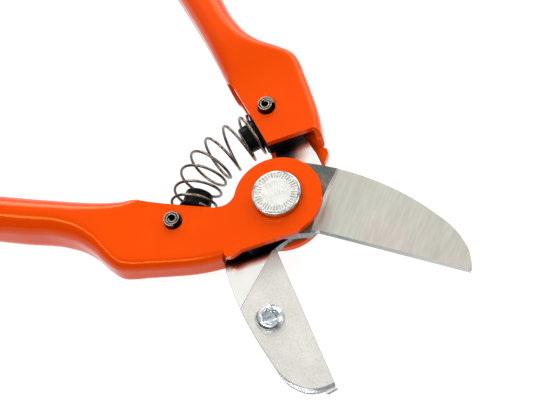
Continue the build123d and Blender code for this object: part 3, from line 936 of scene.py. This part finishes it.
def counter_blade_carrier():
    """A plate with a step down at the seam, where the counter-blade lies."""
    step_z = MIDDLE_Z - COUNTER_THICKNESS
    head, rim = carrier_head(), carrier_rim()
    points = []
    upper = add_line(points, head + [COUNTER_HEEL, SEAM_TOP], MIDDLE_Z)
    back_up, heel_up, seam_up = upper[0], upper[-2], upper[-1]
    seam_low, heel_low = add_line(points, [SEAM_TOP, COUNTER_HEEL], step_z)
    lower = [heel_low] + add_line(points, rim + [SEAM_BOTTOM], step_z)
    bottom = add_line(points, head + [COUNTER_HEEL] + rim, CARRIER_Z)
    skin = [
        (upper, PLATE_FACE), ([seam_low] + lower, PLATE_FACE),
        ([seam_up, seam_low, lower[-1], back_up], SEAM_FACE),
        ([heel_up, heel_low, seam_low, seam_up], SEAM_FACE),
    ]
    sides = [list(side) for side in wall(upper[:-1], bottom)]
    sides[0].append(lower[-1])
    sides[-1].insert(2, heel_low)
    sides += wall(lower, bottom[len(head):] + bottom[:1])
    skin += [(side, EDGE_FACE) for side in sides]
    skin.append((bottom, PLATE_FACE))
    piece = make_mesh("carrier_plate", [counter_place(p) for p in points], *zip(*skin))
    return soften(piece, 0.12, 30.0, 2)


# -------- fasteners
def pivot_bolt():
    """A wide flat disc with a rolled edge and a ring of short pressed bars, on its shank."""
    _, radius, bottom, top = measure("pivot_bolt")
    sides, bars, depth, shank = 480, 40, 0.10, 4.0
    rings = [0.02, 1.5, 3.0, 4.2, 4.6, 4.8, 5.1, 5.4, 5.8, 6.2, 6.4, 6.6, 6.8]
    profile = [(r, top) for r in rings]
    profile += fillet_profile(radius, top, 0.55, 6)[1:]
    profile += [(radius, HEAD_Z + 0.3), (radius - 0.25, HEAD_Z), (4.6, HEAD_Z), (shank, HEAD_Z)]
    profile += [(shank, bottom + 0.4), (shank - 0.4, bottom), (0.02, bottom)]

    def pressed(r, z, a):
        beat, share = divmod(a / (2 * pi) * bars, 1.0)
        inner, outer = (4.7, 6.5) if beat % 4 else (5.3, 6.0)
        inside = inner < r < outer and z > top - 0.01 and 0.28 < share < 0.72
        return r, z - depth if inside else z

    points, faces = ring_solid(lathe(profile, (0.0, 0.0), sides, pressed))
    indices = []
    for face in faces:
        lowest = min(points[i][2] for i in face)
        on_top = lowest > top - 2 * depth and max(hypot(*points[i][:2]) for i in face) < 6.7
        indices.append((2 if lowest < top - depth / 2 else 1) if on_top else 0)
    return soften(make_mesh("pivot_disc", points, faces, indices), 0.03, 40.0, 1)


def hexagon_radius(flats, a):
    sixth = pi / 3
    return flats / 2 / cos((a + sixth / 2) % sixth - sixth / 2)


def nut(name, node, flats, bore):
    """A hexagon nut with turned chamfers at both faces."""
    centre, _, bottom, top = measure(node)
    turned_radius = flats / 2 * 0.97
    profile = [
        (bore, top - 0.3), (bore + 0.3, top), (turned_radius, top), (-1.0, top), (-1.0, bottom),
        (turned_radius, bottom), (bore + 0.3, bottom), (bore, bottom + 0.3),
    ]

    def hexagon(r, z, a):
        if r > 0:
            return r, z
        reach = hexagon_radius(flats, a - radians(HALF_OPENING))
        drop = (reach - turned_radius) * 0.55
        return reach, z - drop if z > (top + bottom) / 2 else z + drop

    return soften(make_mesh(name, *hollow_solid(lathe(profile, centre, 96, hexagon))), 0.08, 25.0, 2)


def pivot_washer():
    _, outer, bottom, top = measure("pivot_washer")
    inner = 4.05
    profile = [(inner, top), (outer, top), (outer, bottom), (inner, bottom)]
    return soften(make_mesh("pivot_washer_ring", *hollow_solid(lathe(profile, (0.0, 0.0)))), 0.12, 40.0, 2)


def counter_blade_screw():
    """A low domed head with a six-lobe socket, and its shank."""
    centre, head_radius, bottom, top = measure("counter_blade_screw")
    lobes, shank = 6, 2.5
    socket = [(-0.02, 1.45), (-0.7, 1.3), (-1.0, 1.3), (-1.0, 0.35), (-1.09, 0.12), (-1.22, 0.02)]
    dome = [(2.75, 0.0), (3.1, 0.10), (3.5, 0.32), (3.85, 0.66), (4.1, 1.05), (head_radius, 1.45)]
    profile = [(r, top - drop) for r, drop in socket + dome]
    profile += [(head_radius, MIDDLE_Z + 0.1), (head_radius - 0.1, MIDDLE_Z), (shank, MIDDLE_Z)]
    profile += [(shank, bottom + 0.3), (shank - 0.3, bottom), (0.02, bottom)]

    def lobed(r, z, a):
        if r > 0:
            return r, z
        wave = cos(lobes * (a - radians(20.0)))
        return -r * (1.93 + 0.30 * wave + 0.05 * wave ** 2), z

    return soften(make_mesh("screw_head", *ring_solid(lathe(profile, centre, 144, lobed))), 0.06, 40.0, 2)


def spiral_pin(name, node, angle, place):
    """A strip rolled into a spiral, standing a little proud of both cheeks."""
    bottom, top = REAR_CHEEK_Z - PIN_PROUD, HEAD_Z + PIN_PROUD
    x, y = turned(measure(node)[0][:2], angle)
    y = abs(y)  # the side that is drawn
    steps, phase, round_share = 100, 1.1, 0.25
    outside, inside = [], []
    for i in range(steps + 1):
        turn = PIN_TURNS * i / steps
        a = 2 * pi * turn + phase
        outer = PIN_RADIUS - PIN_PITCH * max(0.0, turn - round_share)
        for line, r in ((outside, outer), (inside, outer - PIN_STRIP)):
            line.append((x + r * cos(a), y + r * sin(a)))
    points, faces = prism(outside + inside[::-1], bottom, top)
    count = 2 * len(outside)
    sides, ends = faces[2:], [
        (level + i, level + i + 1, level + count - 2 - i, level + count - 1 - i)
        for level in (0, count) for i in range(steps)
    ]
    indices = [1] * len(sides) + [0] * len(ends)
    return soften(make_mesh(name, [place(p) for p in points], sides + ends, indices), 0.10, 40.0, 2)


# -------- spring and seats
def spring_seat(name, tip_y, place):
    """A tapered boss with a flange and a dished tip, on its block beside the tang."""
    tip = [(0.02, 0.7), (1.6, 0.7), (2.1, 0.1), (2.4, 0.0)]
    tip += [(3.8, 0.0), (4.05, 0.09), (4.22, 0.28), (4.3, 0.6)]
    flange = [(4.45, -0.2), (4.6, 0.0), (4.9, 0.0), (5.1, 0.2), (5.1, SEAT_FLANGE), (0.02, SEAT_FLANGE)]
    profile = [(r, tip_y + y) for r, y in tip] + [(r, SEAT_BASE_Y - SEAT_FLANGE + y) for r, y in flange]
    points, faces = ring_solid([
        [(SEAT_X + x, y, MIDDLE_Z + z) for x, z in arc((0.0, 0.0), radius, 0.0, 360.0, 64)[:-1]]
        for radius, y in profile
    ])
    block_points, block_faces = prism(SEAT_BLOCK, MIDDLE_Z + 0.05, FRONT_CHEEK_Z - 0.05)
    start = len(points)
    points += block_points
    faces += [tuple(start + i for i in face) for face in block_faces]
    return soften(make_mesh(name, [place(p) for p in points], faces), 0.12, 40.0, 2)


def spring_axis(t):
    """A place on the bowed line between the two seats, and its direction there."""
    ends = [
        turned(BLADE_END, HALF_OPENING),
        turned((BLADE_END[0], BLADE_END[1] + BLADE_END_BOW), HALF_OPENING),
        turned((COUNTER_END[0], COUNTER_END[1] - COUNTER_END_BOW), -HALF_OPENING),
        turned(COUNTER_END, -HALF_OPENING),
    ]
    weights = [(1 - t) ** 3, 3 * t * (1 - t) ** 2, 3 * t ** 2 * (1 - t), t ** 3]
    rates = [-3 * (1 - t) ** 2, 3 * (1 - t) * (1 - 3 * t), 3 * t * (2 - 3 * t), 3 * t ** 2]
    place = [sum(w * p[i] for w, p in zip(weights, ends)) for i in (0, 1)]
    rate = [sum(w * p[i] for w, p in zip(rates, ends)) for i in (0, 1)]
    size = hypot(*rate)
    return place, (rate[0] / size, rate[1] / size)


def eased(turn):
    """How far the wire has come from an end, if its pitch grows smoothly from nothing to one."""
    u = min(turn / CLOSING_TURNS, 1.0)
    return CLOSING_TURNS * (u ** 3 - u ** 4 / 2) + max(0.0, turn - CLOSING_TURNS)


def spring_run(turn):
    """How far along its axis the wire has come after so many turns, with close coils at both ends."""
    ends = eased(turn) + eased(SPRING_TURNS) - eased(SPRING_TURNS - turn)
    return (2 * CLOSED_SHARE - 1) * turn + (1 - CLOSED_SHARE) * ends


def coil_radius(turn):
    """The end coils are a little narrower than the middle ones."""
    start = 1 - smoothstep(turn / TAPER_TURNS)
    end = 1 - smoothstep((SPRING_TURNS - turn) / TAPER_TURNS)
    narrower = (COIL_RADIUS - BLADE_END_RADIUS) * start + (COIL_RADIUS - COUNTER_END_RADIUS) * end
    return COIL_RADIUS - narrower


def spring_point(turn):
    place, along = spring_axis(spring_run(turn) / spring_run(SPRING_TURNS))
    a = 2 * pi * turn + radians(START_PHASE)
    radius = coil_radius(turn)
    side = radius * cos(a)
    return (place[0] - along[1] * side, place[1] + along[0] * side, MIDDLE_Z + radius * sin(a))


def return_spring():
    steps = round(SPRING_TURNS * RINGS_PER_TURN)
    line = [spring_point(SPRING_TURNS * i / steps) for i in range(steps + 1)]
    piece = make_mesh("spring_coil", *ring_solid(tube(line, WIRE_RADIUS, 14)))
    dress(piece, "return_spring", None, "spring_steel")
    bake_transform(piece)


def catch_bail():
    """The wire catch, straddling the blade handle's grip near its end."""
    x, y = CATCH_PLACE
    a = radians(CATCH_REST_ANGLE)
    far = (x + CATCH_REACH * cos(a), y + CATCH_REACH * sin(a))
    low, high = MIDDLE_Z - CATCH_HALF_SPAN, MIDDLE_Z + CATCH_HALF_SPAN
    stub = CATCH_STUB + CATCH_WIRE
    corners = [(x, y, low + stub), (x, y, low), (*far, low), (*far, high), (x, y, high), (x, y, high - stub)]
    line = rounded_path(corners, CATCH_BEND, 8)
    points, faces = ring_solid(tube(line, CATCH_WIRE, 20))
    return make_mesh("catch_wire", [blade_level(p) for p in points], faces)


# -------- the pieces
# name, place, turn back to the closed place, lean of the grip, tip of the spring seat
HALVES = (
    ("blade", blade_place, -HALF_OPENING, GRIP_LEAN, BLADE_SEAT_TIP_Y),
    ("counter", counter_place, HALF_OPENING, -GRIP_LEAN, COUNTER_SEAT_TIP_Y),
)


def build():
    for half, place, _, lean, _ in HALVES:
        shell = handle_shell(half + "_handle_shell", lean, place)
        dress(shell, half + "_handle", half + "_half", "orange_coat", "shaded_coat_edge")
    dress(cutting_blade(), "cutting_blade", "blade_half",
          "ground_steel", "bevel_steel", "tang_steel", "cut_steel", "runout_steel")
    dress(counter_blade(), "counter_blade", "counter_half", "satin_steel", "cut_steel")
    dress(counter_blade_carrier(), "counter_blade_carrier", "counter_half",
          "bright_steel", "cut_steel", "tang_steel")
    dress(pivot_bolt(), "pivot_bolt", "blade_half", "zinc_plate", "disc_steel", "groove_steel")
    dress(nut("pivot_nut_hexagon", "pivot_nut", 13.0, 4.05), "pivot_nut", "blade_half", "zinc_plate")
    dress(pivot_washer(), "pivot_washer", "blade_half", "zinc_plate")
    dress(counter_blade_screw(), "counter_blade_screw", "counter_half", "zinc_plate")
    dress(nut("screw_nut_hexagon", "counter_blade_nut", 8.0, 2.55), "counter_blade_nut",
          "counter_half", "zinc_plate")
    for half, place, angle, *_ in HALVES:
        pin = half + "_spring_pin"
        spiral = spiral_pin(half + "_pin_spiral", pin, angle, place)
        dress(spiral, pin, half + "_half", "dark_steel", "black_steel")
    for half, place, *_, tip_y in HALVES:
        boss = spring_seat(half + "_seat_boss", tip_y, place)
        dress(boss, half + "_spring_seat", half + "_half", "black_plastic")
    return_spring()
    dress(catch_bail(), "catch_bail", "catch", "spring_steel")


# -------- studio
# camera place in millimetres, and its ways right, up and back; light places and sizes in metres, watts
LENS = 85.0
SENSOR = 36.0
CAMERA_PLACE = (167.9, -109.1, 346.2)
CAMERA_AXES = [(0.7776, 0.5960, -0.2001), (-0.4569, 0.7544, 0.4713), (0.4319, -0.2751, 0.8590)]
LIGHTS = {
    "key": ((-0.95, 0.55, 0.62), (0.5, 0.5), 5.5),
    "front": ((0.55, -0.40, 0.85), (0.9, 0.9), 2.0),
    "side": ((0.75, 0.55, 0.45), (0.5, 0.5), 1.6),
    "strip": ((-0.14, -0.62, 1.05), (1.0, 0.14), 7.0),
    "rim": ((-0.25, 1.10, 0.50), (0.9, 0.8), 7.0),
}
WORLD_BRIGHT_WAY = (-0.30, 0.90, 0.30)
FLOOR_REACH = 3.0
FLOOR_Z = -0.0003


def camera():
    data = bpy.data.cameras.new("camera")
    data.lens = LENS
    data.sensor_width = SENSOR
    data.clip_start = 0.01
    data.dof.use_dof = False
    view = new_object("camera", data)
    right, up, back = (Vector(axis).normalized() for axis in CAMERA_AXES)
    view.matrix_world = Matrix.Translation(Vector(CAMERA_PLACE) * MM) @ Matrix(
        (right, up, back)).transposed().to_4x4()
    bpy.context.scene.camera = view


def softbox(name, place, size, power):
    """A soft rectangular light that faces the origin."""
    data = bpy.data.lights.new(name, "AREA")
    data.shape = "RECTANGLE"
    data.size, data.size_y = size
    data.energy = power
    lamp = new_object(name, data)
    lamp.location = place
    lamp.rotation_euler = (-Vector(place)).to_track_quat("-Z", "Y").to_euler()


def surround():
    """A white studio that is darker on the side that the pruner's near edges face."""
    world = bpy.data.worlds.new("studio")
    bpy.context.scene.world = world
    world.use_nodes = True
    way = add_node(world, "TexCoord").outputs["Generated"]
    facing = add_node(world, "VectorMath", {0: way, 1: WORLD_BRIGHT_WAY}, operation="DOT_PRODUCT")
    strength = add_node(world, "MapRange", {
        "Value": facing.outputs["Value"], "From Min": -0.25, "From Max": 0.60, "To Min": 0.18, "To Max": 1.0,
    })
    background = world.node_tree.nodes["Background"]
    plug(world, background.inputs["Color"], (1.0, 1.0, 1.0))
    plug(world, background.inputs["Strength"], strength.outputs["Result"])


def floor():
    """Bright paper under the pruner."""
    signs = ((-1, -1), (1, -1), (1, 1), (-1, 1))
    corners = [(x * FLOOR_REACH, y * FLOOR_REACH, FLOOR_Z) for x, y in signs]
    mesh = bpy.data.meshes.new("floor")
    mesh.from_pydata(corners, [], [(0, 1, 2, 3)])
    ground = new_object("floor", mesh)
    material, shader = new_material("floor_paper")
    grain = noise(material, coordinates(material), 900.0, 2.0)
    colour = ramp(material, grain, [(0.3, 0.15), (0.7, 0.18)])
    mesh.materials.append(feed(material, shader, Base_Color=colour, Roughness=0.9, Specular_IOR_Level=0.1,
                               Emission_Color=(1.0, 1.0, 1.0), Emission_Strength=0.90))


build()
camera()
surround()
floor()
for name, light in LIGHTS.items():
    softbox(name, *light)
bpy.context.scene.view_settings.view_transform = "Standard"
